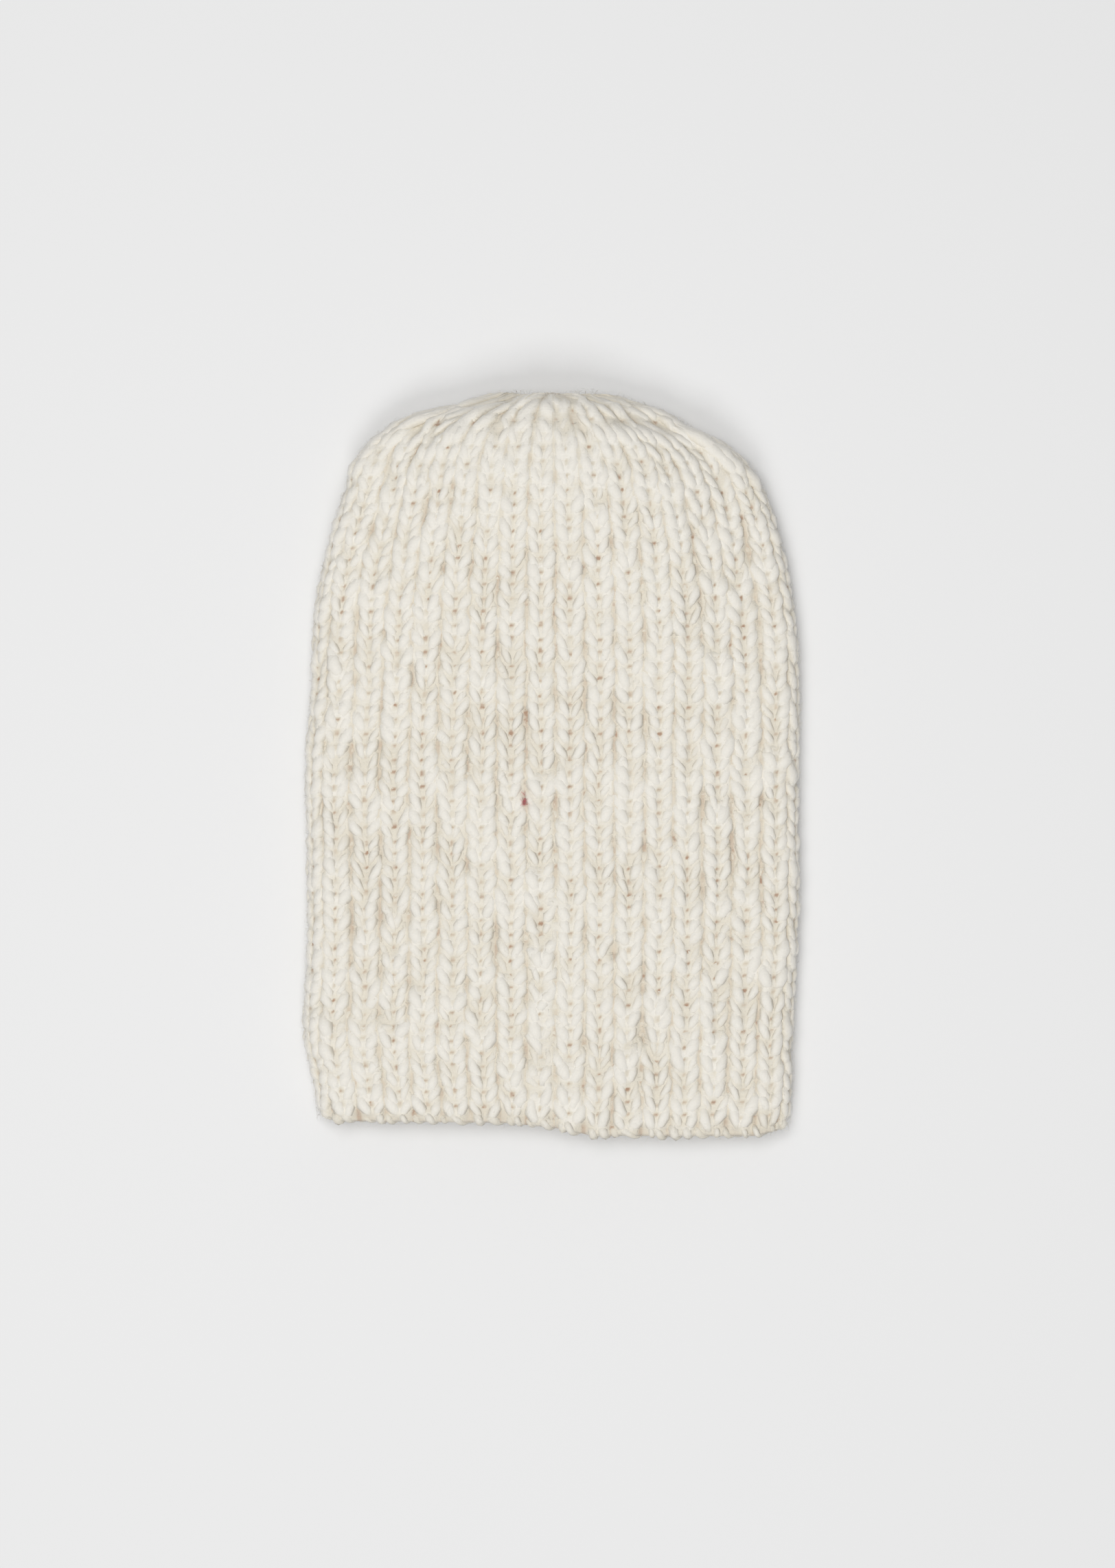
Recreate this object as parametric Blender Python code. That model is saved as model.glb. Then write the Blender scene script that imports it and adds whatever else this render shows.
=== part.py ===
"""A hand-knitted rib beanie that lies flat, hem towards -Y and crown towards +Y.

Metres, +Z up. The origin is on the floor under the middle of the cap. The cap is a flattened
tube of 36 knitted ribs, open at the hem, gathered at the crown round a ring of its own yarn.
"""

import math
from collections import namedtuple

import bmesh
import bpy
from mathutils import Vector

LENGTH = 0.322  # hem to crown
WIDTH = 0.215  # fold to fold across the lying cap
HEM_HEIGHT = 0.026  # thickness of the lying cap in the middle of the hem
CROWN_HEIGHT = 0.038  # thickness where the crown stands fullest
FOLD_HEIGHT = 0.024  # thickness along the folds at both sides
WALL = 0.0055  # thickness of the knitting, measured through a rib
RIB_COUNT = 36  # ribs once round the cap
RIB_DEPTH = 0.003  # from the top of a rib down into the furrow beside it
HEM_ROUND = 0.0018  # rounding of the cast-on edge
HEM_STEP = 0.006  # how much longer the hem is on its long side
END_ROUND = 0.019  # how far back from the tip the crown starts to close
GATHER_HEIGHT = 0.017  # height of the gather above the floor
GATHER_SINK = 0.0008  # how deep the gather is drawn in
YARN = 0.0045  # thickness of the yarn
EYE_RADIUS = 0.0005  # what stays open inside the closing ring
CLEARANCE = 0.0003  # gap between the closing ring and the knitting

SAMPLES_PER_RIB = 4  # two on the rib, two in the furrow
QUARTER_STEPS = 60  # fine steps along a quarter of a section, before it is divided evenly
RING_SEGMENTS = 36
RING_SIDES = 8
RING_WAVES = 9  # loops that the closing ring passes over and under
RING_WAVE_SHARE = 0.12  # height of those waves, as a share of the yarn
DOME_SQUARE = 4  # power that keeps the top of the cap flat and drops it towards the folds
END_SQUARE = 6  # power that keeps the crown's end straight across and rounds its corners
SINK_SHARP = 4  # power that draws the gather in only close to its eye

# Sections of the cap from hem to crown. along is a share of LENGTH, left and right are shares
# of half the WIDTH, puff goes from the hem's height (0) to the crown's (1), close is the share
# of the height that is left where the crown rounds off, and inside is 1 where the inner face
# has a ring too. The first row is the cast-on edge.
Section = namedtuple("Section", "along left right puff close inside")
SECTIONS = [
    Section(0.000, 0.940, 0.955, 0.00, 1.00, 1),
    Section(0.055, 0.962, 0.970, 0.04, 1.00, 0),
    Section(0.120, 1.000, 0.972, 0.08, 1.00, 1),
    Section(0.200, 0.990, 0.984, 0.13, 1.00, 0),
    Section(0.300, 0.986, 0.998, 0.19, 1.00, 1),
    Section(0.400, 0.988, 0.996, 0.26, 1.00, 0),
    Section(0.500, 0.993, 0.996, 0.34, 1.00, 1),
    Section(0.600, 0.971, 1.000, 0.47, 1.00, 0),
    Section(0.690, 0.960, 0.986, 0.64, 1.00, 1),
    Section(0.760, 0.928, 0.953, 0.82, 1.00, 0),
    Section(0.820, 0.880, 0.908, 0.96, 1.00, 1),
    Section(0.865, 0.838, 0.859, 1.00, 1.00, 1),
    Section(0.902, 0.805, 0.795, 0.96, 1.00, 1),
    Section(0.930, 0.745, 0.695, 0.88, 0.99, 1),
    Section(0.950, 0.675, 0.580, 0.80, 0.97, 1),
    Section(0.966, 0.590, 0.500, 0.75, 0.90, 1),
    Section(0.979, 0.430, 0.410, 0.72, 0.77, 1),
    Section(0.988, 0.325, 0.330, 0.70, 0.60, 0),
]

# How far the hem rises across the cap: across runs from the left fold (-1) to the right fold (1),
# and rise is a share of HEM_STEP.
HemPoint = namedtuple("HemPoint", "across rise")
HEM_LINE = [
    HemPoint(-1.00, 1.90),
    HemPoint(-0.88, 1.10),
    HemPoint(-0.20, 1.00),
    HemPoint(0.02, 0.60),
    HemPoint(0.16, 0.05),
    HemPoint(0.80, 0.00),
    HemPoint(0.92, 0.35),
    HemPoint(1.00, 1.20),
]
HEM_FADE = 6  # how fast the hem's slant dies out up the cap

# Rings between the last section and the eye of the gather, each as a share of the way in.
GATHER_STEPS = (0.25, 0.50, 0.72, 0.88, 1.00)

EYE_OUTER = YARN + EYE_RADIUS + CLEARANCE
RING_MIDDLE = EYE_RADIUS + YARN / 2


def clear_scene():
    for item in list(bpy.data.objects):
        bpy.data.objects.remove(item, do_unlink=True)


def wool(name, colour, roughness):
    material = bpy.data.materials.new(name)
    material.use_nodes = True
    shader = material.node_tree.nodes["Principled BSDF"]
    shader.inputs["Base Color"].default_value = (*colour, 1.0)
    shader.inputs["Roughness"].default_value = roughness
    shader.inputs["Metallic"].default_value = 0.0
    return material


def between(table, key, column, at):
    """The value of a column of a table, straight between its rows."""
    for low, high in zip(table, table[1:]):
        start, end = getattr(low, key), getattr(high, key)
        if at <= end:
            share = max(0.0, (at - start) / (end - start))
            return getattr(low, column) * (1 - share) + getattr(high, column) * share
    return getattr(table[-1], column)


def height_over_floor(section):
    return HEM_HEIGHT + section.puff * (CROWN_HEIGHT - HEM_HEIGHT)


def quarter(half_width, dome, upper):
    """Points (x, z) of a quarter of a section, from the fold to the middle of the cap."""
    fold = FOLD_HEIGHT / 2
    run = half_width - fold
    side = 1 if upper else -1
    points = []
    for step in range(QUARTER_STEPS // 2):
        turn = math.pi * step / QUARTER_STEPS
        points.append((run + fold * math.cos(turn), fold + side * fold * math.sin(turn)))
    for step in range(QUARTER_STEPS // 2 + 1):
        reach = 1 - 2 * step / QUARTER_STEPS
        rise = dome * (1 - reach**DOME_SQUARE) ** 2 if upper else 0.0
        points.append((run * reach, fold + side * fold + rise))
    return points


def at_share(points, share):
    """The point at a share of the length of a line of points, and the line's direction there."""
    lengths = [math.dist(a, b) for a, b in zip(points, points[1:])]
    left = share * sum(lengths)
    for (a, b), length in zip(zip(points, points[1:]), lengths):
        if left <= length:
            break
        left -= length
    along = ((b[0] - a[0]) / length, (b[1] - a[1]) / length)
    return a[0] + along[0] * left, a[1] + along[1] * left, along


def section_ring(section, insets):
    """The points (x, z) round one section, evenly spaced in each quarter, from the left fold
    over the top to the right fold and back under the cap. Each is set in by its own depth."""
    dome = height_over_floor(section) - FOLD_HEIGHT
    left = section.left * WIDTH / 2
    right = section.right * WIDTH / 2
    quarters = (
        (quarter(left, dome, True), -1, 1),
        (quarter(right, dome, True), 1, -1),
        (quarter(right, dome, False), 1, 1),
        (quarter(left, dome, False), -1, -1),
    )
    ring = []
    for index, inset in enumerate(insets):
        place = len(quarters) * (index + 0.5) / len(insets)
        points, side, way = quarters[int(place)]
        share = place - int(place)
        x, z, along = at_share(points, share if way == 1 else 1 - share)
        up = 1 if place < 2 else -1
        x -= inset * along[1] * up
        z += inset * along[0] * up
        z = GATHER_HEIGHT + section.close * (z - GATHER_HEIGHT)
        ring.append((side * x, z))
    return ring


def hem_rise(x, along):
    """How far the courses are lifted above a straight line, most at the hem itself."""
    rise = between(HEM_LINE, "across", "rise", x / (WIDTH / 2))
    return rise * HEM_STEP * (1 - along) ** HEM_FADE


def crest_row(section):
    """Points on the tops of the ribs, once round the cap."""
    row = []
    for x, z in section_ring(section, [0.0] * RIB_COUNT * SAMPLES_PER_RIB):
        y = section.along * LENGTH + hem_rise(x, section.along)
        row.append(Vector((x, y - LENGTH / 2, z)))
    return row


def end_setback(x, z, section):
    """How far the rounded end of the crown lies behind the tip, at a place on it."""
    reach = height_over_floor(section) - GATHER_HEIGHT if z > GATHER_HEIGHT else GATHER_HEIGHT
    share = min(1.0, abs(z - GATHER_HEIGHT) / reach)
    upright = END_ROUND * (1 - math.sqrt(1 - share * share))
    half_width = (section.left if x < 0 else section.right) * WIDTH / 2
    across = (1 - section.along) * LENGTH * (x / half_width) ** END_SQUARE
    return math.hypot(upright, across)


def gather_row(step):
    """A ring on the end of the crown, on its way from the last section to the gather's eye."""
    last = SECTIONS[-1]
    outline = crest_row(last)
    row = []
    for index, edge in enumerate(outline):
        angle = 2 * math.pi * (index + 0.5) / len(outline)
        eye_z = GATHER_HEIGHT + EYE_OUTER * math.sin(angle)
        x = edge.x + (-EYE_OUTER * math.cos(angle) - edge.x) * step
        z = edge.z + (eye_z - edge.z) * step
        y = LENGTH / 2 - end_setback(x, z, last) - GATHER_SINK * step**SINK_SHARP
        row.append(Vector((x, y, z)))
    return row


def outward(rows, i, j):
    """The direction out of the knitting at one point of the rows."""
    up = rows[i + 1][j] - rows[max(i - 1, 0)][j]
    round_it = rows[i][(j + 1) % len(rows[i])] - rows[i][j - 1]
    out = round_it.cross(up)
    if i == 0:
        out.y = 0
    return out.normalized()


def furrow_depths(rows, i):
    """How deep each point of a row lies below the tops of the ribs. The ribs are full on the
    body's first row above the edge, and get flatter where they crowd together and at the eye."""
    row = rows[i]
    body = rows[2]
    gather_steps_left = len(rows) - 1 - i
    fade = min(1.0, gather_steps_left / len(GATHER_STEPS))
    depths = []
    for j in range(len(row)):
        k = (j + 1) % len(row)
        crowding = min(1.0, (row[k] - row[j]).length / (body[k] - body[j]).length)
        on_rib = j % SAMPLES_PER_RIB in (0, SAMPLES_PER_RIB - 1)
        depths.append(0.0 if on_rib else RIB_DEPTH * crowding * fade)
    return depths


def outer_ring(rows, i):
    edge = HEM_ROUND if i == 0 else 0.0
    ring = []
    for j, depth in enumerate(furrow_depths(rows, i)):
        point = rows[i][j] - outward(rows, i, j) * (depth + edge)
        point.z = max(point.z, 0.0)
        ring.append(point)
    return ring


def inner_ring(rows, i, section):
    edge = HEM_ROUND if i == 0 else 0.0
    insets = [depth + WALL - edge for depth in furrow_depths(rows, i)]
    ring = []
    for j, (x, z) in enumerate(section_ring(section, insets)):
        setback = section.along * (WALL + RIB_DEPTH)
        ring.append(Vector((x, rows[i][j].y - setback, z)))
    return ring


def knit_shell():
    edge = SECTIONS[0]
    lip = edge._replace(along=HEM_ROUND / LENGTH)
    sections = [edge, lip] + SECTIONS[1:]
    rows = [crest_row(section) for section in sections]
    rows += [gather_row(step) for step in GATHER_STEPS]
    eye = rows[-1]
    rings = [[point - Vector((0, WALL, 0)) for point in eye]]
    rings += [inner_ring(rows, i, row) for i, row in enumerate(sections) if row.inside][::-1]
    rings += [outer_ring(rows, i) for i in range(len(rows) - 1)]
    rings.append(eye)
    shape = bmesh.new()
    rings = [[shape.verts.new(point) for point in ring] for ring in rings]
    count = len(eye)
    for first, second in zip(rings, rings[1:] + rings[:1]):
        for j in range(count):
            k = (j + 1) % count
            shape.faces.new((first[j], second[j], second[k], first[k]))
    bmesh.ops.recalc_face_normals(shape, faces=shape.faces)
    return shape


def closing_yarn():
    """A ring of yarn in the eye of the gather, waving over and under the last loops."""
    shape = bmesh.new()
    middle_y = LENGTH / 2 - GATHER_SINK - WALL / 2
    rings = []
    for segment in range(RING_SEGMENTS):
        angle = 2 * math.pi * segment / RING_SEGMENTS
        wave = RING_WAVE_SHARE * YARN * math.cos(RING_WAVES * angle)
        ring = []
        for side in range(RING_SIDES):
            turn = 2 * math.pi * side / RING_SIDES
            radius = RING_MIDDLE + YARN / 2 * math.cos(turn)
            x = radius * math.cos(angle)
            z = GATHER_HEIGHT + radius * math.sin(angle)
            y = middle_y + wave + YARN / 2 * math.sin(turn)
            ring.append(shape.verts.new((x, y, z)))
        rings.append(ring)
    for first, second in zip(rings, rings[1:] + rings[:1]):
        for j in range(RING_SIDES):
            k = (j + 1) % RING_SIDES
            shape.faces.new((first[j], second[j], second[k], first[k]))
    bmesh.ops.recalc_face_normals(shape, faces=shape.faces)
    return shape


def add_piece(name, shape, material):
    mesh = bpy.data.meshes.new(name)
    shape.to_mesh(mesh)
    shape.free()
    mesh.materials.append(material)
    piece = bpy.data.objects.new(name, mesh)
    bpy.context.scene.collection.objects.link(piece)
    return piece


def main():
    clear_scene()
    ivory = wool("ivory_wool", (0.79, 0.75, 0.66), 0.92)
    beige = wool("beige_wool", (0.72, 0.67, 0.57), 0.92)
    add_piece("knit_shell", knit_shell(), ivory)
    add_piece("closing_yarn", closing_yarn(), beige)


main()
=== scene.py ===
"""Knits the beanie over its packed form: thick-and-thin wool, stitch by stitch.

The cap is ribbed, one knit column and one purl column to each rib. Every course is a round of
yarn that runs along the cap's own skin, bends into loops over the course below, and swells and
thins as hand-spun wool does. Lengths are in metres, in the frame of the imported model.
"""

import math
from collections import namedtuple
from functools import partial

import bpy
import numpy as np
from bpy.props import FloatProperty, FloatVectorProperty, IntProperty, PointerProperty
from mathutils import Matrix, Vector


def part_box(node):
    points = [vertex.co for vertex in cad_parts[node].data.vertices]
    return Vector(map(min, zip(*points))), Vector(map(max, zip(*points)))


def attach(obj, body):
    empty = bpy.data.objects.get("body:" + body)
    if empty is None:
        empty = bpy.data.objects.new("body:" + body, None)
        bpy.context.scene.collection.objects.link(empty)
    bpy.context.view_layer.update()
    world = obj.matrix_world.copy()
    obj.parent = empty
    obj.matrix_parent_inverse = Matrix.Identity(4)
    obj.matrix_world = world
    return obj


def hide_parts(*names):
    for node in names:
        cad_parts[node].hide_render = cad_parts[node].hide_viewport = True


bl_info = {
    "name": "Rib Beanie",
    "version": (1, 0, 0),
    "blender": (4, 5, 0),
    "location": "3D View > Sidebar > Beanie",
    "description": "Knits a rib beanie of thick-and-thin wool over its packed form",
    "category": "Object",
}

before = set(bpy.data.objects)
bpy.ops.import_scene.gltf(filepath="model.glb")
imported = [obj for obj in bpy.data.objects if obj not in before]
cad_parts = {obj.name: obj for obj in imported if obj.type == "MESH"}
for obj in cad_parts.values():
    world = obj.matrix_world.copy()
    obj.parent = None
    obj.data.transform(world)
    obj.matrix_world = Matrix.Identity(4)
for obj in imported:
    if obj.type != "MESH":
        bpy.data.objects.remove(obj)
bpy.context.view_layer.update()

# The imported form, from the frame.
SHELL_LOW, SHELL_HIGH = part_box("knit_shell")
EYE_LOW, EYE_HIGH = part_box("closing_yarn")
WIDTH = SHELL_HIGH[0] - SHELL_LOW[0]
LENGTH = SHELL_HIGH[1] - SHELL_LOW[1]
CROWN_HEIGHT = SHELL_HIGH[2]
GATHER_HEIGHT = (EYE_LOW[2] + EYE_HIGH[2]) / 2
EYE_OUTER = (EYE_HIGH[0] - EYE_LOW[0]) / 2
EYE_OPEN = 0.0005  # radius left open inside the closing yarn

# The form between hem and crown.
HEM_HEIGHT = 0.026
FOLD_HEIGHT = 0.024  # of the round folds at the cap's two sides
END_ROUND = 0.019  # how far the crown's end rounds off
GATHER_SINK = 0.0008  # how deep the eye of the gather lies
HEM_STEP = 0.006
HEM_FADE = 6  # how soon the step fades up the cap; this and the next three are powers
DOME_SQUARE = 4
END_SQUARE = 6
SINK_SHARP = 4

# Sections from hem to crown: along is a share of LENGTH, left and right are shares of half the
# WIDTH, puff goes from the hem's height to the crown's, close is the share of height left.
Section = namedtuple("Section", "along left right puff close")
SECTIONS = [
    Section(0.000, 0.940, 0.955, 0.00, 1.00),
    Section(0.055, 0.962, 0.970, 0.04, 1.00),
    Section(0.120, 1.000, 0.972, 0.08, 1.00),
    Section(0.200, 0.990, 0.984, 0.13, 1.00),
    Section(0.300, 0.986, 0.998, 0.19, 1.00),
    Section(0.400, 0.988, 0.996, 0.26, 1.00),
    Section(0.500, 0.993, 0.996, 0.34, 1.00),
    Section(0.600, 0.971, 1.000, 0.47, 1.00),
    Section(0.690, 0.960, 0.986, 0.64, 1.00),
    Section(0.760, 0.928, 0.953, 0.82, 1.00),
    Section(0.820, 0.880, 0.908, 0.96, 1.00),
    Section(0.865, 0.838, 0.859, 1.00, 1.00),
    Section(0.902, 0.805, 0.795, 0.96, 1.00),
    Section(0.930, 0.745, 0.695, 0.88, 0.99),
    Section(0.950, 0.675, 0.580, 0.80, 0.97),
    Section(0.966, 0.590, 0.500, 0.75, 0.90),
    Section(0.979, 0.430, 0.410, 0.72, 0.77),
    Section(0.988, 0.325, 0.330, 0.70, 0.60),
]
GATHER_STEPS = (0.25, 0.50, 0.72, 0.88, 1.00)

# How far the hem rises, as shares of HEM_STEP, at places from the left fold at -1 to the right.
HEM_LINE = [
    (-1.00, 1.90),
    (-0.88, 1.10),
    (-0.20, 1.00),
    (0.02, 0.60),
    (0.16, 0.05),
    (0.80, 0.00),
    (0.92, 0.35),
    (1.00, 1.20),
]

# Half a knit stitch, from the middle of its head to the sinker beside it: across is a share of
# the rib's pitch, along a share of the course's pitch, out is the distance from the middle of
# the cloth in millimetres, thick is a share of the yarn, and free is how far the point may stray.
LoopPoint = namedtuple("LoopPoint", "across along out thick free")
KNIT_LOOP = [
    LoopPoint(0.000, 0.60, 0.9, 1.10, 0.3),
    LoopPoint(0.150, 0.76, 1.0, 1.00, 0.5),
    LoopPoint(0.290, 0.80, 1.2, 0.92, 0.8),
    LoopPoint(0.350, 0.50, 1.6, 1.00, 1.0),
    LoopPoint(0.320, 0.10, 2.2, 1.24, 1.0),
    LoopPoint(0.235, -0.34, 2.6, 1.24, 1.0),
    LoopPoint(0.140, -0.72, 2.3, 0.88, 0.8),
    LoopPoint(0.085, -0.96, 1.2, 0.62, 0.5),
    LoopPoint(0.130, -1.04, 0.4, 0.60, 0.3),
]
SINKER = LoopPoint(0.250, -0.86, 0.0, 0.80, 0.2)
MM = 0.001

# The knitting.
RIBS = 36
SKIN_DEPTH = 0.00425  # from the crests of the ribs to the middle of the cloth
FIRST_COURSE = 0.0095  # from the hem to the middle of the first course
CROWN_RUN = 0.060  # from the gather, where the stitches start to get longer
CROWN_GROW = 0.18  # by how much, as a share
CROWN_LIFT = 1.9  # millimetres that the purl columns rise there
CROWN_FILL = 0.00035  # how much higher the matted fibres stand there
AROUND = 288  # points round the form's rings
STATION = 0.0015  # distance between the form's rings
QUARTER_STEPS = 160  # points that measure a quarter of a ring
PLAIN_COURSES = 6  # courses at the crown whose purl columns have been taken in
HALVED_COURSES = 3  # of them, courses with half the loops
LAST_COURSES = 1  # of them, courses with a quarter of the loops
KNIT_STEPS = 16  # points of a knit stitch
PURL_STEPS = 9
YARN_SIDES = 6
FLAT = 0.15  # how much wider than deep the yarn is pressed
FLOOR_GAP = 0.0004  # height under which wool is pressed
PRESSED = 0.06  # share that is left of its depth under there
PURL_LIFT = 0.9  # millimetres that a purl column stands nearer to the front
PURL_BUMP = 1.30  # how much thicker the yarn lies there

# How far the knitting strays, across in ribs, along in courses and out in millimetres.
POINT_STRAY = (0.022, 0.09, 0.20)
LEG_STRAY = (0.034, 0.13, 0.22)
OPEN_STRAY = 0.13  # share by which a stitch is wider or narrower
COLUMN_STRAY = 0.020  # ribs by which a column wanders sideways
COLUMN_COURSES = 4
SLUB_STEP = 9  # points of a course over which the yarn swells or thins
SLUB_LONG = 30  # the same, more slowly
SLUB_LONG_SHARE = 0.06
SLUB_LIMITS = (-0.36, 0.36)  # thinnest and thickest, as powers of e

# The seam of small uneven stitches that runs up from the hem beside one column.
SEAM_RIB = 8
SEAM_COURSES = 19
SEAM_FADE = 4
SEAM_LIFT = 1.0  # millimetres that it fills of the furrow
SEAM_STRAY = 1.0  # share by which its stitches stray further

# The cast-on edge, which wraps once round the hem below every stitch.
EDGE_WRAPS = 2  # to each rib
EDGE_RUN = 0.0030  # from the hem to the middle of a wrap
EDGE_REACH = 0.0014  # how far it goes to either side
EDGE_DEEP = 0.0021  # how far to either face of the cloth
EDGE_WAVE = 0.0009  # how far it follows the ribs
EDGE_YARN = 0.0030
EDGE_STEPS = 12
EDGE_STRAY = 0.3  # how much larger or smaller a wrap is
EDGE_TURN = 0.9  # radians by which a wrap comes early or late
EDGE_SLIDE = 0.12  # ribs by which it slides along the hem

# The yarn drawn through the last loops.
RING_WAVES = 9
RING_WAVE_SHARE = 0.12  # height of a wave, as a share of the yarn
RING_STEPS = 180
RING_THINNEST = -0.2  # power of e; it has no room to swell

# Matted fibres in the middle of the cloth, as a grid of rows and of points round them.
WEB_TURNS = 432
WEB_ROW = 0.00125  # from one row to the next
WEB_INNER = 5  # rows of the outer face to one of the inner
WEB_WALL = 0.0026  # how thick the web is where no yarn raises it
WEB_WAVE = 0.0009  # how far the inner face follows the ribs
WEB_REACH = 3  # grid steps over which a yarn raises the web
WEB_SOFT = 1.05  # grid steps over which the web is smoothed
WEB_BLUR = 4  # grid steps that smoothing reaches
WEB_SINK = 0.00038  # how far the web lies under the smoothed yarns
WEB_ROUGH = 0.00006
WEB_TUCK = 0.00015  # how far a piece of it goes under the next one
NOTCH_ALONG = -1.05  # where the two legs of a stitch meet, in courses
# From here to FURROW_PATCH: the notches and furrows are darkened with painted shade.
NOTCH_SIZE = (0.0010, 0.0017)  # of the dark notch there
NOTCH_STRAY = 0.0005
NOTCH_FIRST = 0.008  # run below which there are none
NOTCH_DEEP = (0.9, 2.3)  # how dark they are
FURROW_DEEP = 0.95  # how dark the furrows are
FURROW_UNEVEN = 0.4  # how much that varies in patches
FURROW_PATCH = 1.0  # grid steps that a patch measures
FURROW_SHARP = 22  # how narrow the furrows are
FURROW_SINK = 0.0007  # how much lower the web lies in them
FINER = 3  # places where a yarn raises the web, to each of its points

# Where the painted shade deepens: from SINK_FACE off the middle of the cloth, over SINK_SPAN.
SINK_FACE = 0.0040
SINK_SPAN = 0.0036

# Loose fibres: the ranges of their length, radius, depth of root and rise over the skin.
Hair = namedtuple("Hair", "length radius root rise")
FURROW_FIBRES = 2500  # on each face of the cap
FURROW_SPREAD = 0.09  # ribs to either side of a furrow
FURROW_HAIR = Hair((0.0010, 0.0030), (0.00004, 0.00009), (0.0010, 0.0030), (-0.0016, 0.0000))
HALO_FIBRES = 1500  # on each face of the cap
OUTLINE_FIBRES = 1200  # along each fold
HEM_FIBRES = 600  # round the hem
OUTLINE_SPREAD = 0.018  # turns to either side of a fold
HALO_HAIR = Hair((0.0020, 0.0045), (0.000025, 0.000045), (0.0004, 0.0020), (-0.0002, 0.0008))
HAIR_CURL = 0.0007
HAIR_SIDES = 3
FLECK_FIBRES = 70  # red ones, at one place
FLECK_HAIR = Hair((0.0008, 0.0018), (0.00004, 0.00009), (0.0008, 0.0018), (-0.0008, 0.0002))
FLECK_TURN = 8.08 / RIBS
FLECK_RUN = 0.1400
FLECK_WIDE = 0.0009  # turns to either side
FLECK_LONG = 0.0014  # how far up they trail off

# The wool's look: turns of twist in a metre, scale and detail of its noises, and strengths.
TWIST = 60
FIBRE_STRETCH = 45
FIBRE_NOISE = (3.5, 3)
TONE_NOISE = (0.6, 1)
FUZZ_NOISE = (1000, 3)
# The next noise places the dots of painted shade.
SHADE_DOT_NOISE = (260, 2)
FIBRE_TONE = 0.10
FUZZ_TONE = 0.10
YARN_TONE = 0.05
# How far the fibres' noise moves the painted highlight and shade up and down.
FIBRE_SINK = 0.4  # how much deeper in the cloth some fibres look
FIBRE_RELIEF = 0.0002
FIBRE_BUMP = 0.6
# The painted highlight and shade: how soon each colour gives way to the next as the wool sinks.
CREAM_SHARP = 2.6  # how soon white turns to cream as the wool sinks
SHADE_SHARP = 2.0  # how soon cream turns to the shade, from half way down
# Dots of the deepest painted shade: how rare they are and how sharply they start.
SHADE_DOT_RARE = 0.60
SHADE_DOT_SHARP = 6
WOOL_LOOK = {
    "Roughness": 0.85,
    "Sheen Weight": 0.4,
    "Sheen Roughness": 0.5,
    "Specular IOR Level": 0.2,
}
# The edge's painted shade is held between these.
EDGE_SINK = (0.15, 0.45)  # how far the edge's yarn counts as sunk in the cloth
COURSE_YARN = 3.0  # length of yarn set apart for a course

# The wools: their colours, as settings, and whether their yarn is thick enough to show twist.
# The four steps run from the painted highlight on the crests to the deepest painted shade.
COLOURS = ("Light", "Cream", "Shade", "Deepest Shade")
Wool = namedtuple("Wool", "colours twisted")
WOOLS = {
    "ivory_wool_yarn": Wool(("white", "cream", "shade", "fleck"), True),
    # The closing yarn's own beige, darkened towards the painted shade as it sinks.
    "beige_wool_yarn": Wool(("beige", "beige", "shade", "fleck"), True),
    # The fibres in the furrows wear the ivory wool a step darker, as painted shade.
    "furrow_wool": Wool(("cream", "shade", "matted", "fleck"), False),
    "fuzz_wool": Wool(("white", "cream", "shade", "fleck"), False),
    "red_wool": Wool(("red", "red", "shade", "fleck"), False),
}

# Pictures of a piece: every yarn is cut into this many lengths, laid on a grid.
PICTURE_CUTS = 36
PICTURE_SHAPE = 4  # how much longer than wide one is
PICTURE_EDGE = 0.06  # share of its cell left free at each side
HAIR_EDGE = 0.1  # the same for a loose fibre
HAIR_APART = 0.01  # length of yarn set apart for a loose fibre
HAIR_ALONG = 0.005  # how much of it one takes

# The random numbers of each step start from the seed and one of these.
WEB_SEED, EDGE_SEED, RING_SEED, FIBRE_SEED = 1, 2, 3, 4

# The stage.
FLOOR_SIZE = 6
FLOOR_ROUGHNESS = 0.9
CAMERA_PLACE = (0.0025, -0.0085)
SENSOR = 24
WORLD_STRENGTH = 0.30
Light = namedtuple("Light", "size energy place")
LIGHTS = {
    "overhead_light": Light(1.0, 24.6, (-0.2, 0.24, 2.2)),
    "hem_side_light": Light(1.7, 49.2, (-0.3, -2.24, 3.32)),
}


def hermite(keys, values, at):
    """A smooth curve through values at keys of any spacing, read at other places."""
    slope = np.gradient(values, keys, axis=0)
    index = np.clip(np.searchsorted(keys, at, side="right") - 1, 0, len(keys) - 2)
    gap = keys[index + 1] - keys[index]
    t = (at - keys[index]) / gap
    shape = (-1,) + (1,) * (values.ndim - 1)
    gap, t = gap.reshape(shape), t.reshape(shape)
    start, end = values[index], values[index + 1]
    rise_in, rise_out = slope[index] * gap, slope[index + 1] * gap
    return (
        (2 * t**3 - 3 * t**2 + 1) * start
        + (t**3 - 2 * t**2 + t) * rise_in
        + (3 * t**2 - 2 * t**3) * end
        + (t**3 - t**2) * rise_out
    )


def quarter(half_width, dome, upper, shares):
    """Points (x, z) of a quarter of a section, at shares of its length from the fold inwards."""
    fold = FOLD_HEIGHT / 2
    run = half_width - fold
    side = 1 if upper else -1
    turn = np.linspace(0, math.pi / 2, QUARTER_STEPS)
    reach = np.linspace(1, 0, QUARTER_STEPS)[1:]
    rise = dome * (1 - reach**DOME_SQUARE) ** 2 if upper else 0 * reach
    x = np.concatenate((run + fold * np.cos(turn), run * reach))
    z = np.concatenate((fold + side * fold * np.sin(turn), fold + side * fold + rise))
    length = np.concatenate(([0], np.cumsum(np.hypot(np.diff(x), np.diff(z)))))
    return np.interp(shares * length[-1], length, x), np.interp(shares * length[-1], length, z)


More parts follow.
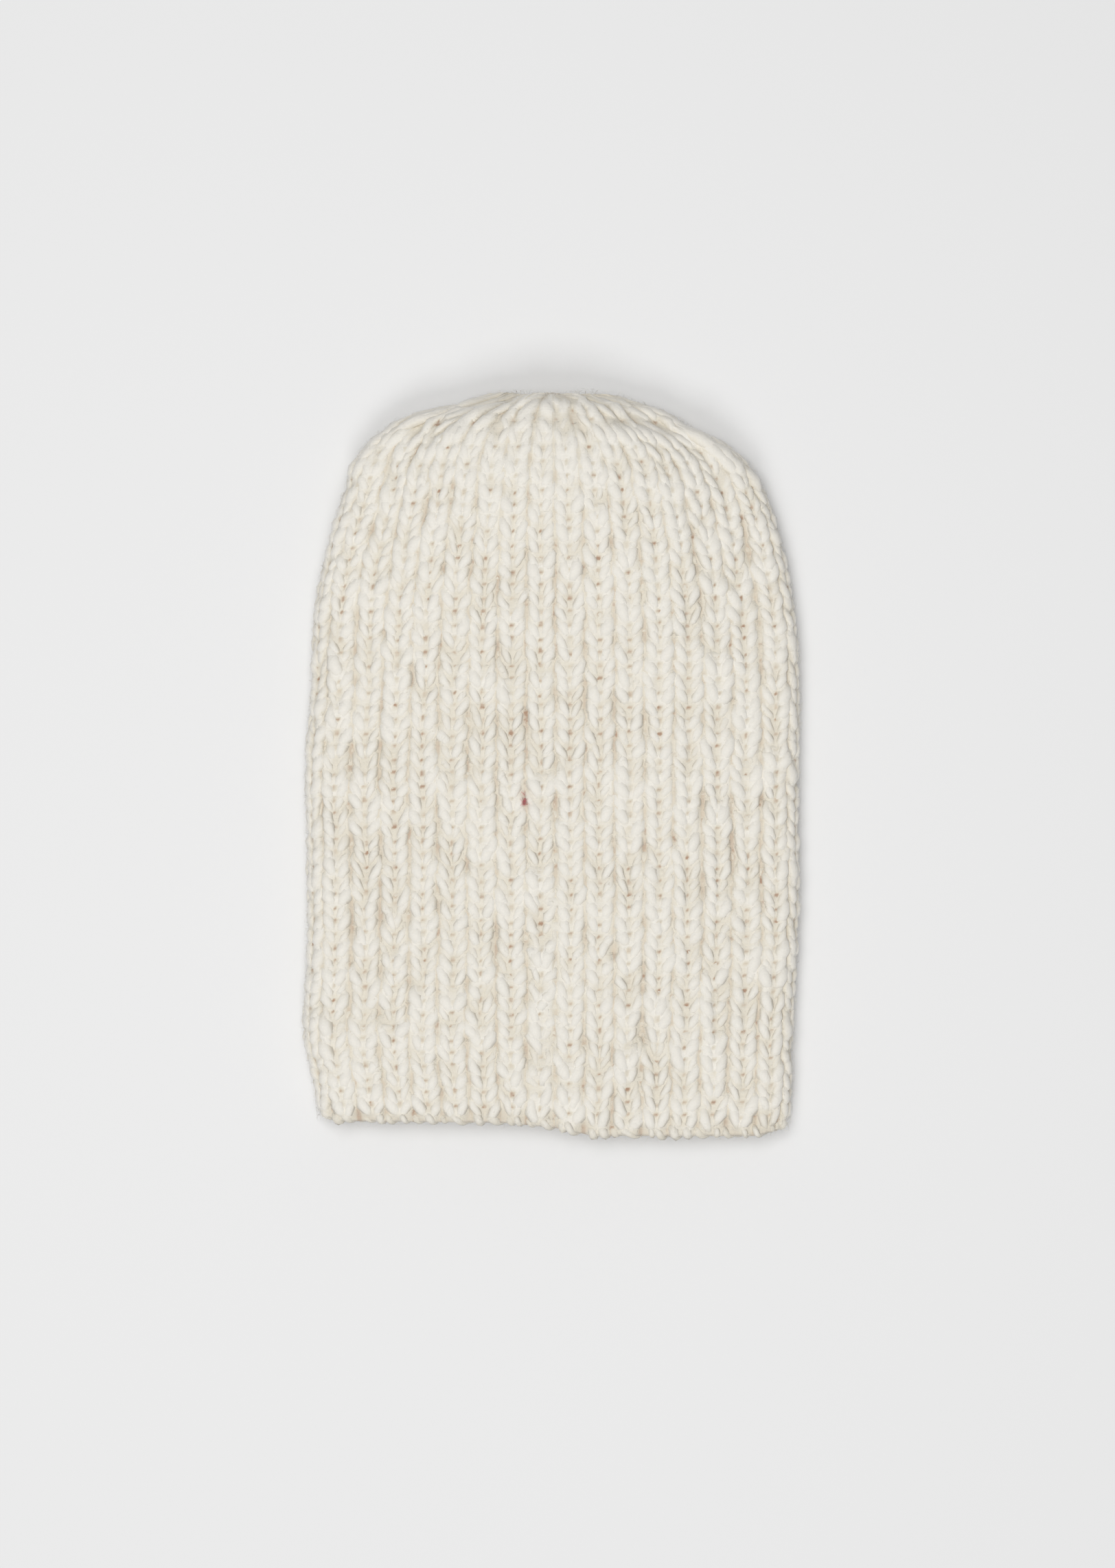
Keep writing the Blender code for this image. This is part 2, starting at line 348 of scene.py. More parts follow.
def section_ring(section):
    """Points (x, z) round a section, from the left fold over the top and back under the cap."""
    dome = HEM_HEIGHT + section.puff * (CROWN_HEIGHT - HEM_HEIGHT) - FOLD_HEIGHT
    share = np.arange(AROUND // 4) / (AROUND // 4)
    left, right = section.left * WIDTH / 2, section.right * WIDTH / 2
    x1, z1 = quarter(left, dome, True, share)
    x2, z2 = quarter(right, dome, True, 1 - share)
    x3, z3 = quarter(right, dome, False, share)
    x4, z4 = quarter(left, dome, False, 1 - share)
    x = np.concatenate((-x1, x2, x3, -x4))
    z = np.concatenate((z1, z2, z3, z4))
    return x, GATHER_HEIGHT + section.close * (z - GATHER_HEIGHT)


def skin_rings():
    """Rings of the cap's skin, over the tops of its ribs, from the hem to the gather's eye."""
    rings = []
    for section in SECTIONS:
        x, z = section_ring(section)
        rise = np.interp(x / (WIDTH / 2), *np.transpose(HEM_LINE))
        y = section.along * LENGTH + rise * HEM_STEP * (1 - section.along) ** HEM_FADE
        rings.append(np.stack((x, y - LENGTH / 2, z), axis=1))
    return np.array(rings + gather_rings(rings[-1]))


def gather_rings(edge):
    """The rings over the end of the crown, from the last section's ring to the eye."""
    rings = []
    last = SECTIONS[-1]
    top = HEM_HEIGHT + last.puff * (CROWN_HEIGHT - HEM_HEIGHT) - GATHER_HEIGHT
    angle = 2 * math.pi * np.arange(AROUND) / AROUND
    for step in GATHER_STEPS:
        x = edge[:, 0] + (-EYE_OUTER * np.cos(angle) - edge[:, 0]) * step
        z = edge[:, 2] + (GATHER_HEIGHT + EYE_OUTER * np.sin(angle) - edge[:, 2]) * step
        reach = np.where(z > GATHER_HEIGHT, top, GATHER_HEIGHT)
        share = np.minimum(1, np.abs(z - GATHER_HEIGHT) / reach)
        upright = END_ROUND * (1 - np.sqrt(1 - share**2))
        half = np.where(x < 0, last.left, last.right) * WIDTH / 2
        across = (1 - last.along) * LENGTH * (x / half) ** END_SQUARE
        y = LENGTH / 2 - np.hypot(upright, across) - GATHER_SINK * step**SINK_SHARP
        rings.append(np.stack((x, y, z), axis=1))
    return rings


class Skin:
    """The cap's skin as a fine grid. A place on it is a turn, from 0 at the left fold over the
    top to 1, and a run, the distance from the hem measured up the middle of the top."""

    def __init__(self):
        rings = skin_rings()
        middle = rings[:, AROUND // 4]
        run = np.concatenate(([0], np.cumsum(np.linalg.norm(np.diff(middle, axis=0), axis=1))))
        self.length = run[-1]
        self.stations = np.linspace(0, self.length, int(self.length / STATION))
        self.points = hermite(run, rings, self.stations)
        up = np.gradient(self.points, axis=0)
        round_it = np.roll(self.points, -1, axis=1) - np.roll(self.points, 1, axis=1)
        normals = np.cross(round_it, up)
        self.normals = normals / np.linalg.norm(normals, axis=2, keepdims=True)
        self.pitch = np.linalg.norm(round_it, axis=2) / 2 * AROUND / RIBS
        self.stretch = np.linalg.norm(up, axis=2) * len(self.stations) / self.length

    def read(self, grid, turn, run):
        """A grid's value at places of the skin, straight between its points."""
        across = (turn % 1.0) * AROUND
        along = np.minimum(run / self.length, 1) * (len(self.stations) - 1)
        j = np.floor(across).astype(int)
        i = np.clip(np.floor(along).astype(int), 0, len(self.stations) - 2)
        fa = across - j
        fr = along - i
        if grid.ndim == 3:
            fa = fa[..., None]
            fr = fr[..., None]
        j, k = j % AROUND, (j + 1) % AROUND
        low = grid[i, j] * (1 - fa) + grid[i, k] * fa
        high = grid[i + 1, j] * (1 - fa) + grid[i + 1, k] * fa
        return low * (1 - fr) + high * fr

    def thinning(self, turn, run, pitch):
        """How much thinner the cloth is where its ribs are drawn together, as a share."""
        room = self.read(self.pitch, turn, run) * self.read(self.stretch, turn, run)
        return np.minimum(1, np.sqrt(room / pitch))

    def lay(self, turn, run, out):
        """Points at a height over places of the skin, and the skin's normals there."""
        normal = self.read(self.normals, turn, run)
        normal /= np.linalg.norm(normal, axis=-1, keepdims=True)
        return self.read(self.points, turn, run) + normal * out[..., None], normal


def round_spline(points, at):
    """A smooth closed curve through points, read at fractional indices."""
    count = len(points)
    index = np.floor(at).astype(int)
    t = (at - index)[:, None]
    a, b, c, d = (points[(index + k) % count] for k in (-1, 0, 1, 2))
    return 0.5 * (
        2 * b
        + (c - a) * t
        + (2 * a - 5 * b + 4 * c - d) * t**2
        + (3 * b - a - 3 * c + d) * t**3
    )


def loop_table(link):
    """One whole stitch, from its left sinker to the end of its right leg. The sinker on its
    right is the next stitch's left one, so it is left out."""
    half = np.array(KNIT_LOOP)
    left = half[::-1] * (-1, 1, 1, 1, 1)
    sinker = np.array([SINKER]) * (0, 1, 1, 1, 1) - (link, 0, 0, 0, 0)
    return np.concatenate((sinker, left, half[1:]))


def taken_in(skin, run):
    """How far the stitches are taken in at the crown, from 0 below it to 1 at the gather."""
    return np.clip(1 - (skin.length - run) / CROWN_RUN, 0, 1)


def course_places(skin, pitch):
    """The run of every course. The stitches get longer where they are taken in at the crown."""
    runs = [FIRST_COURSE]
    while runs[-1] < skin.length:
        runs.append(runs[-1] + pitch * (1 + CROWN_GROW * taken_in(skin, runs[-1])))
    return np.array(runs)


def smooth_noise(random, count, spacing):
    """Seeded noise, about -2 to 2, that changes over spacing samples."""
    keys = np.arange(0, count + 2 * spacing, spacing)
    return hermite(keys, random.normal(size=len(keys)), np.arange(count))


def stray(random, controls, unevenness, seam):
    """Moves every leg and every point of a course's stitches off its even place."""
    stitches, size = controls.shape[:2]
    legs = random.normal(size=(2, stitches, 1, 3))
    lean = np.where(controls[:, :, 0:1] < 0, legs[0], legs[1]) * LEG_STRAY
    points = random.normal(size=(stitches, size, 3)) * POINT_STRAY
    much = np.full(stitches, unevenness)
    much[2 * SEAM_RIB:2 * SEAM_RIB + 2] *= 1 + SEAM_STRAY * seam
    controls[:, :, 0] *= 1 + OPEN_STRAY * random.normal(size=(stitches, 1)) * unevenness
    controls[:, :, 0:3] += (lean + points) * controls[:, :, 4:5] * much[:, None, None]


Course = namedtuple("Course", "turn run height radius squeeze notches")


def course_stitches(settings, random, index, ribs, purl, drift, crown):
    """The points of a course's stitches, and where its knit columns are, in ribs."""
    stitches = ribs * 2 if purl else ribs
    controls = np.tile(loop_table(SINKER.across if purl else 0.5), (stitches, 1, 1))
    seam = np.clip((SEAM_COURSES - index) / SEAM_FADE, 0, 1)
    stray(random, controls, settings.unevenness, seam)
    if purl:
        controls[1::2, :, 2] = PURL_LIFT + CROWN_LIFT * crown - controls[1::2, :, 2]
        controls[1::2, :, 3] *= PURL_BUMP
        controls[2 * SEAM_RIB + 1, :, 2] += SEAM_LIFT * seam
    centre = np.arange(stitches) * (0.5 if purl else 1.0)
    centre += np.repeat(drift, stitches // ribs) * COLUMN_STRAY
    controls[:, :, 0] += centre[:, None]
    return controls, centre[::2 if purl else 1]


def course_path(controls, ribs, purl):
    """Points of the closed path through a course's stitches, finer on the knit ones."""
    flat = controls.reshape(-1, controls.shape[2])
    wrap = np.array([float(ribs), 0, 0, 0, 0])
    closed = np.concatenate((flat[-1:] - wrap, flat, flat[:2] + wrap))
    at = []
    for stitch in range(len(controls)):
        count = PURL_STEPS if purl and stitch % 2 else KNIT_STEPS
        at.append((stitch + np.arange(count) / count) * controls.shape[1])
    return round_spline(closed, np.concatenate(at) + 1)


def knit_course(skin, settings, random, index, runs, drift):
    """The path of one course's yarn over the skin. Heights are over the middle of the cloth."""
    left = len(runs) - 1 - index
    purl = left > PLAIN_COURSES
    ribs = RIBS if left > HALVED_COURSES else RIBS // 2
    ribs = ribs if left > LAST_COURSES else RIBS // 4
    crown = taken_in(skin, runs[index])
    stitches = course_stitches(settings, random, index, ribs, purl, drift[index][:ribs], crown)
    controls, knits = stitches
    points = course_path(controls, ribs, purl)
    pitch = runs[index + 1] - runs[index]
    turn = (points[:, 0] + settings.rib_phase) / ribs
    run = runs[index] + points[:, 1] * pitch
    squeeze = skin.thinning(turn, run, settings.rib_pitch * ribs / RIBS)
    swell = smooth_noise(random, len(turn), SLUB_STEP) * settings.slub
    swell += smooth_noise(random, len(turn), SLUB_LONG) * settings.slub * SLUB_LONG_SHARE
    radius = settings.yarn / 2 * points[:, 3] * squeeze * np.exp(np.clip(swell, *SLUB_LIMITS))
    notches = np.stack(((knits + settings.rib_phase) / ribs, knits * 0 + runs[index]), axis=1)
    notches[:, 1] += NOTCH_ALONG * pitch
    return Course(turn, run, points[:, 2] * MM, radius, squeeze, notches)


def knit_all(skin, settings):
    """The paths of all the courses, from the hem to the crown."""
    random = np.random.default_rng(settings.seed)
    runs = course_places(skin, settings.course_pitch)
    count = len(runs) - 1
    drift = [smooth_noise(random, count, COLUMN_COURSES) for _ in range(RIBS)]
    drift = np.stack(drift, axis=1)
    return [knit_course(skin, settings, random, index, runs, drift) for index in range(count)]


def laid(skin, course):
    """A course's yarn in space: its points, skin normals, radii and heights over mid-cloth."""
    out = (course.height - SKIN_DEPTH) * course.squeeze
    place, normal = skin.lay(course.turn, course.run, out)
    return place, normal, course.radius, course.height


def finer(values, wrap):
    """A closed course's values at several places between each two of its points."""
    at = np.arange(len(values) * FINER) / FINER
    return np.interp(at, np.arange(len(values) + 1), np.append(values, values[0] + wrap))


def raise_grid(grid, skin, turn, run, size, base, rise, power):
    """Raises a grid of rows and turns round every place. There it gets to base and rise; from
    there rise falls off to nothing over size, the rounder the smaller the power."""
    across = skin.read(skin.pitch, turn, run) * RIBS / WEB_TURNS
    along = WEB_ROW * skin.read(skin.stretch, turn, run)
    j, i = turn * WEB_TURNS, run / WEB_ROW
    for dj in range(-WEB_REACH, WEB_REACH + 1):
        for di in range(-WEB_REACH, WEB_REACH + 1):
            column = np.round(j).astype(int) + dj
            row = np.round(i).astype(int) + di
            away = np.hypot((column - j) * across, (row - i) * along) / size
            near = (away < 1) & (row >= 0) & (row < len(grid))
            places = (row[near], column[near] % WEB_TURNS)
            top = base[near] + rise[near] * (1 - away[near] ** 2) ** power
            np.maximum.at(grid, places, top)


def smoothed(grid, steps):
    """A grid blurred along both ways; its turns are closed, its rows end."""
    reach = np.arange(-WEB_BLUR, WEB_BLUR + 1)
    weights = np.exp(-reach**2 / (2 * steps**2))
    weights /= weights.sum()
    grid = sum(w * np.roll(grid, k, axis=1) for w, k in zip(weights, reach))
    rows = np.arange(len(grid))
    return sum(w * grid[np.clip(rows + k, 0, len(grid) - 1)] for w, k in zip(weights, reach))


def relief(skin, settings, random, run, squeeze, ribs):
    """How far the matted fibres stand off the skin, filling in softly between the yarns, and
    how much painted shade they get in the furrows and where the legs of a stitch meet."""
    high = (WEB_WALL / 2 - SKIN_DEPTH) * squeeze
    dark = np.zeros_like(high)
    for course in [cast_on_edge(settings)] + knit_all(skin, settings):
        turns, runs = finer(course.turn, 1.0), finer(course.run, 0.0)
        size = finer(course.radius, 0.0)
        out = finer((course.height - SKIN_DEPTH) * course.squeeze, 0.0)
        raise_grid(high, skin, turns, runs, size * (1 + FLAT), out, size * (1 - FLAT), 0.5)
        # Painted shade where the two legs of each stitch meet and dive into the cloth.
        deep = random.uniform(*NOTCH_DEEP, len(course.notches))
        deep *= course.notches[:, 1] > NOTCH_FIRST
        size = random.uniform(*NOTCH_SIZE, len(deep))
        turns, runs = course.notches.T
        runs = runs + random.normal(size=len(deep)) * NOTCH_STRAY
        raise_grid(dark, skin, turns, runs, size, 0 * deep, deep, 2)
    soft = smoothed(high, WEB_SOFT) - WEB_SINK * squeeze**2 + CROWN_FILL * taken_in(skin, run)
    # Painted shade along the furrows, uneven in patches; all of it is weaker where the crown
    # thins the cloth.
    patches = smoothed(random.normal(size=soft.shape), FURROW_PATCH)
    furrow = np.maximum(0, -ribs) ** FURROW_SHARP
    soft -= FURROW_SINK * furrow * squeeze**4
    dark += FURROW_DEEP * furrow * np.maximum(0, 1 + FURROW_UNEVEN * patches / patches.std())
    dark *= squeeze**2
    return soft + random.normal(size=soft.shape) * WEB_ROUGH * squeeze, dark


def cast_on_edge(settings):
    """The path of the edge's yarn, which wraps round the hem."""
    random = np.random.default_rng(settings.seed + EDGE_SEED)
    at = np.arange(RIBS * EDGE_WRAPS * EDGE_STEPS) / EDGE_STEPS
    slow, size, angle, swell = (smooth_noise(random, len(at), EDGE_STEPS) for _ in range(4))
    size = np.exp(EDGE_STRAY * size)
    angle = 2 * math.pi * at + EDGE_TURN * angle
    turn = (at / EDGE_WRAPS + settings.rib_phase + EDGE_SLIDE * slow) / RIBS
    run = EDGE_RUN + EDGE_REACH * size * np.cos(angle)
    height = EDGE_DEEP * size * np.sin(angle) + EDGE_WAVE * np.cos(math.pi * at)
    radius = EDGE_YARN / 2 * np.exp(np.clip(swell * settings.slub, *SLUB_LIMITS))
    return Course(turn, run, height, radius, np.ones(len(at)), np.zeros((0, 2)))


def closing_ring(settings, random):
    """The yarn in the eye of the gather: its points, normals, radii and heights."""
    girth = (EYE_OUTER - EYE_OPEN) / 2
    angle = 2 * math.pi * np.arange(RING_STEPS) / RING_STEPS
    middle = (EYE_LOW[1] + EYE_HIGH[1]) / 2
    wave = 2 * girth * RING_WAVE_SHARE * np.cos(RING_WAVES * angle)
    reach = EYE_OPEN + girth
    x, z = reach * np.cos(angle), GATHER_HEIGHT + reach * np.sin(angle)
    place = np.stack((x, middle + wave, z), axis=1)
    normal = np.tile((0.0, 1.0, 0.0), (RING_STEPS, 1))
    swell = smooth_noise(random, RING_STEPS, SLUB_STEP) * settings.slub / 2
    radius = girth * np.exp(np.clip(swell, RING_THINNEST, 0))
    # Its heights are 0, the middle of the cloth, so its wool takes the painted shade.
    return place, normal, radius, np.zeros(RING_STEPS)


def tube(place, normal, radius, height, start=0.0):
    """A closed round of yarn: rings of points about its path, how far each has sunk, and where
    on the yarn it starts."""
    ahead = np.roll(place, -1, axis=0) - np.roll(place, 1, axis=0)
    ahead /= np.linalg.norm(ahead, axis=1, keepdims=True)
    side = np.cross(ahead, normal)
    side /= np.linalg.norm(side, axis=1, keepdims=True)
    up = np.cross(side, ahead)
    angle = 2 * math.pi * np.arange(YARN_SIDES) / YARN_SIDES
    wide = radius[:, None] * (1 + FLAT) * np.cos(angle)
    deep = radius[:, None] * (1 - FLAT) * np.sin(angle)
    rings = place[:, None] + wide[..., None] * side[:, None] + deep[..., None] * up[:, None]
    # How far each point has sunk sets its painted highlight and shade.
    return pressed(rings), sunk(height[:, None] + deep), start


def pressed(points):
    """Points over the floor, with all that would go through it pressed nearly flat on it."""
    z = points[..., 2]
    points[..., 2] = np.where(z < FLOOR_GAP, FLOOR_GAP + (z - FLOOR_GAP) * PRESSED, z)
    return points


# The wool's painted shade deepens with this; near 0 it keeps the painted highlight of the crests.
def sunk(height):
    """How far wool at a height lies in the cloth: 0 near its faces, 1 in its middle."""
    return np.clip((SINK_FACE - np.abs(height)) / SINK_SPAN, 0, 1)


def face_corners(start, end, v):
    """The corners of the faces round a yarn, from where they start and end along it."""
    corners = np.empty((len(start), v.shape[1] - 1, 4, 2))
    corners[..., 0] = np.stack((start, end, end, start), -1)[:, None]
    corners[..., 1] = np.stack((v[:, :-1], v[:, :-1], v[:, 1:], v[:, 1:]), -1)
    return corners


def picture_places(count, sides, first, total, cuts):
    """Where the corners of one yarn's faces lie in the piece's picture."""
    wide = math.ceil(math.sqrt(total / PICTURE_SHAPE))
    high = math.ceil(total / wide)
    i = np.arange(count)
    cut = i * cuts // count
    start = -(-cut * count // cuts)
    size = -(-(cut + 1) * count // cuts) - start
    share = PICTURE_EDGE + (1 - 2 * PICTURE_EDGE) * np.stack((i - start, i - start + 1)) / size
    cell = first + cut
    u = (cell % wide + share) / wide
    turn = PICTURE_EDGE + (1 - 2 * PICTURE_EDGE) * np.arange(sides + 1) / sides
    v = (cell // wide)[:, None] / high + turn / high
    return face_corners(u[0], u[1], v)


def yarn_places(rings, start):
    """How far along and how far round the yarn the corners of its faces lie."""
    sides = rings.shape[1]
    middle = rings.mean(axis=1)
    step = np.linalg.norm(np.roll(middle, -1, axis=0) - middle, axis=1)
    length = start + np.concatenate(([0], np.cumsum(step)))
    return face_corners(length[:-1], length[1:], np.arange(sides + 1)[None] / sides)


def mesh_of(name, points, faces, sinks, maps):
    """A smooth mesh of faces that all have the same number of corners."""
    mesh = bpy.data.meshes.new(name)
    mesh.vertices.add(len(points))
    mesh.vertices.foreach_set("co", points.astype(np.float32).ravel())
    mesh.loops.add(faces.size)
    mesh.loops.foreach_set("vertex_index", faces.ravel().astype(np.int32))
    mesh.polygons.add(len(faces))
    starts = np.arange(0, faces.size, faces.shape[1], dtype=np.int32)
    mesh.polygons.foreach_set("loop_start", starts)
    mesh.update(calc_edges=True)
    for label, places in maps.items():
        mesh.uv_layers.new(name=label).uv.foreach_set("vector", places.astype(np.float32).ravel())
    sink = mesh.attributes.new("sink", "FLOAT", "POINT")
    sink.data.foreach_set("value", sinks.astype(np.float32))
    mesh.shade_smooth()
    return mesh


def yarn_mesh(name, tubes, cuts=PICTURE_CUTS):
    """One mesh of several closed tubes of yarn."""
    points, faces, yarn, picture, sinks = [], [], [], [], []
    first = 0
    for number, (rings, sink, start) in enumerate(tubes):
        count, sides = rings.shape[:2]
        spot = first + np.arange(count * sides).reshape(count, sides)
        ahead = np.roll(spot, -1, axis=0)
        corners = (spot, ahead, np.roll(ahead, -1, axis=1), np.roll(spot, -1, axis=1))
        faces.append(np.stack(corners, -1).reshape(-1, 4))
        yarn.append(yarn_places(rings, start).reshape(-1, 2))
        places = picture_places(count, sides, number * cuts, len(tubes) * cuts, cuts)
        picture.append(places.reshape(-1, 2))
        points.append(rings.reshape(-1, 3))
        sinks.append(sink.ravel())
        first += count * sides
    maps = {"yarn": np.concatenate(yarn), "OFBake": np.concatenate(picture)}
    points, faces, sinks = (np.concatenate(parts) for parts in (points, faces, sinks))
    return mesh_of(name, points, faces, sinks, maps)


def fibre_points(skin, random, turn, run, hair):
    """Points of loose fibres, each a thin tapering curl with its root in the yarn."""
    count = len(turn)
    length = random.uniform(*hair.length, (count, 1))
    radius = random.uniform(*hair.radius, (count, 1, 1))
    root = random.uniform(*hair.root, count)
    place, normal = skin.lay(turn, run, -root)
    ahead = np.cross(normal, random.normal(size=(count, 3)))
    ahead /= np.linalg.norm(ahead, axis=1, keepdims=True)
    side = np.cross(normal, ahead)
    curl = random.normal(size=(2, count, 1)) * HAIR_CURL
    rise = root + random.uniform(*hair.rise, (2, count))
    middle = place + ahead * length / 2 + normal * rise[0][:, None] + side * curl[0]
    tip = place + ahead * length + normal * rise[1][:, None] + side * curl[1]
    angle = 2 * math.pi * np.arange(HAIR_SIDES) / HAIR_SIDES
    spread = np.cos(angle)[:, None] * side[:, None] + np.sin(angle)[:, None] * normal[:, None]
    spread *= radius
    rings = (place[:, None] + spread, middle[:, None] + spread, tip[:, None])
    return pressed(np.concatenate(rings, axis=1))


def fibre_places(count, pattern):
    """Where the corners of the fibres' faces lie on a yarn and in the piece's picture."""
    along = np.repeat((0.0, 0.5, 1.0), (HAIR_SIDES, HAIR_SIDES, 1))
    round_it = np.array((0.0, 0.4, 0.8, 0.0, 0.4, 0.8, 0.4))
    spot = np.stack((along, round_it), -1)[pattern]
    number = np.arange(count)[:, None, None]
    yarn = np.empty((count, *spot.shape))
    yarn[..., 0] = number * HAIR_APART + HAIR_ALONG * spot[..., 0]
    yarn[..., 1] = spot[..., 1]
    wide = math.ceil(math.sqrt(count))
    cell = np.stack((number % wide, number // wide), -1)
    picture = (cell + HAIR_EDGE + (1 - 2 * HAIR_EDGE) * spot) / wide
    return {"yarn": yarn, "OFBake": picture}


def add_piece(name, mesh, wool="ivory_wool_yarn", nodes=("knit_shell",)):
    mesh.materials.append(wool_material(wool))
    piece = bpy.data.objects.new(name, mesh)
    bpy.context.scene.collection.objects.link(piece)
    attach(piece, "root")
    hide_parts(*nodes)


def add_fibres(name, wool, points):
    """Adds a piece of loose fibres."""
    count, size = points.shape[:2]
    pattern = [tuple(reversed(range(HAIR_SIDES)))]
    for a in range(HAIR_SIDES):
        b = (a + 1) % HAIR_SIDES
        c, d = HAIR_SIDES + a, HAIR_SIDES + b
        pattern += [(a, b, d), (a, d, c), (c, d, size - 1)]
    pattern = np.array(pattern)
    faces = np.arange(count)[:, None, None] * size + pattern
    maps = fibre_places(count, pattern)
    sinks = np.zeros(count * size)
    mesh = mesh_of(name, points.reshape(-1, 3), faces.reshape(-1, 3), sinks, maps)
    add_piece(name, mesh, wool)


def add_node(tree, kind, **values):
    node = tree.nodes.new(kind)
    for name, value in values.items():
        setattr(node, name, value)
    return node


def calculate(tree, operation, *inputs):
    """A maths node; each input is a number or another node's output."""
    node = add_node(tree, "ShaderNodeMath", operation=operation)
    for socket, value in zip(node.inputs, inputs):
        if isinstance(value, bpy.types.NodeSocket):
            tree.links.new(value, socket)
        else:
            socket.default_value = value
    return node.outputs[0]


def noise(tree, vector, scale, detail):
    node = add_node(tree, "ShaderNodeTexNoise")
    node.inputs["Scale"].default_value = scale
    node.inputs["Detail"].default_value = detail
    tree.links.new(vector, node.inputs["Vector"])
    return node.outputs["Fac"]


def blend(tree, share, first, second):
    """A mix of two other nodes' colours, by the share of the second."""
    node = add_node(tree, "ShaderNodeMix", data_type="RGBA")
    for name, output in (("Factor", share), ("A", first), ("B", second)):
        tree.links.new(output, node.inputs[name])
    return node.outputs["Result"]


def wool_group():
    """Twisted fibres along a yarn: colour that varies along it, a painted highlight where it lies
    high and painted shade that deepens where it has sunk, dotted darker there, and fine relief."""
    tree = bpy.data.node_groups.new("wool_fibres", "ShaderNodeTree")
    link = tree.links.new
    maths = partial(calculate, tree)
    for name in COLOURS:
        tree.interface.new_socket(name, in_out="INPUT", socket_type="NodeSocketColor")
    for name, kind in (("Color", "NodeSocketColor"), ("Normal", "NodeSocketVector")):
        tree.interface.new_socket(name, in_out="OUTPUT", socket_type=kind)
    light, cream, shade, fleck = add_node(tree, "NodeGroupInput").outputs[:len(COLOURS)]
    result = add_node(tree, "NodeGroupOutput")
    yarn = add_node(tree, "ShaderNodeSeparateXYZ")
    uv_map = add_node(tree, "ShaderNodeUVMap", uv_map="yarn")
    link(uv_map.outputs["UV"], yarn.inputs["Vector"])
    along, round_it = yarn.outputs["X"], yarn.outputs["Y"]
    twist = maths("MULTIPLY_ADD", along, TWIST, round_it)
    angle = maths("MULTIPLY", twist, 2 * math.pi)
    strand = add_node(tree, "ShaderNodeCombineXYZ")
    link(maths("COSINE", angle), strand.inputs["X"])
    link(maths("SINE", angle), strand.inputs["Y"])
    link(maths("MULTIPLY", along, FIBRE_STRETCH), strand.inputs["Z"])
    fibres = noise(tree, strand.outputs["Vector"], *FIBRE_NOISE)
    tone = noise(tree, strand.outputs["Vector"], *TONE_NOISE)
    place = add_node(tree, "ShaderNodeTexCoord").outputs["Object"]
    shade_dots = noise(tree, place, *SHADE_DOT_NOISE)
    sink = add_node(tree, "ShaderNodeAttribute", attribute_name="sink").outputs["Fac"]
    # Painted highlight and shade: white on the crests, then cream, the shade and the deepest
    # shade as the wool sinks; the fibres' noise moves the steps up and down.
    uneven = maths("MULTIPLY_ADD", fibres, FIBRE_SINK, -FIBRE_SINK / 2)
    spread = maths("ADD", sink, uneven)
    shallow = maths("MULTIPLY", spread, CREAM_SHARP)
    deep = maths("MULTIPLY_ADD", spread, SHADE_SHARP, -SHADE_SHARP / 2)
    depth = maths("MAXIMUM", deep, 0.0)
    colour = blend(tree, shallow, light, cream)
    colour = blend(tree, depth, colour, shade)
    notch = maths("SUBTRACT", spread, 1.0)
    colour = blend(tree, notch, colour, fleck)
    # Dots of the deepest painted shade, in patches, only where the wool lies deep.
    above = maths("SUBTRACT", shade_dots, SHADE_DOT_RARE)
    rare = maths("MULTIPLY", above, SHADE_DOT_SHARP)
    dotted = maths("MULTIPLY", maths("MAXIMUM", rare, 0.0), depth)
    share = maths("MINIMUM", dotted, 1.0)
    colour = blend(tree, share, colour, fleck)
    fuzz = noise(tree, place, *FUZZ_NOISE)
    plain_tone = 1 - FIBRE_TONE / 2 - FUZZ_TONE / 2
    lighter = maths("MULTIPLY_ADD", fibres, FIBRE_TONE, plain_tone)
    lighter = maths("MULTIPLY_ADD", fuzz, FUZZ_TONE, lighter)
    value = maths("MULTIPLY_ADD", tone, YARN_TONE, -YARN_TONE / 2)
    value = maths("ADD", lighter, value)
    toned = add_node(tree, "ShaderNodeHueSaturation")
    link(value, toned.inputs["Value"])
    link(colour, toned.inputs["Color"])
    link(toned.outputs["Color"], result.inputs["Color"])
    bump = add_node(tree, "ShaderNodeBump")
    bump.inputs["Strength"].default_value = FIBRE_BUMP
    bump.inputs["Distance"].default_value = FIBRE_RELIEF
    link(maths("ADD", fibres, fuzz), bump.inputs["Height"])
    link(bump.outputs["Normal"], result.inputs["Normal"])
    return tree


def wool_material(name):
    """One of the wools, made when it is first asked for."""
    material = bpy.data.materials.get(name)
    if material:
        return material
    material = bpy.data.materials.new(name)
    material.use_nodes = True
    tree = material.node_tree
    shader = tree.nodes["Principled BSDF"]
    for socket, value in WOOL_LOOK.items():
        shader.inputs[socket].default_value = value
    wool = add_node(tree, "ShaderNodeGroup")
    wool.node_tree = bpy.data.node_groups.get("wool_fibres") or wool_group()
    for socket, colour in zip(COLOURS, WOOLS[name].colours):
        value = getattr(bpy.context.scene.beanie_knit, colour)
        wool.inputs[socket].default_value = (*value, 1)
    tree.links.new(wool.outputs["Color"], shader.inputs["Base Color"])
    if WOOLS[name].twisted:
        tree.links.new(wool.outputs["Normal"], shader.inputs["Normal"])
    return material


def length_property(name, text, default):
    return FloatProperty(name=name, description=text, default=default, unit="LENGTH")


def colour_property(name, text, default):
    return FloatVectorProperty(name=name, description=text, default=default, subtype="COLOR")


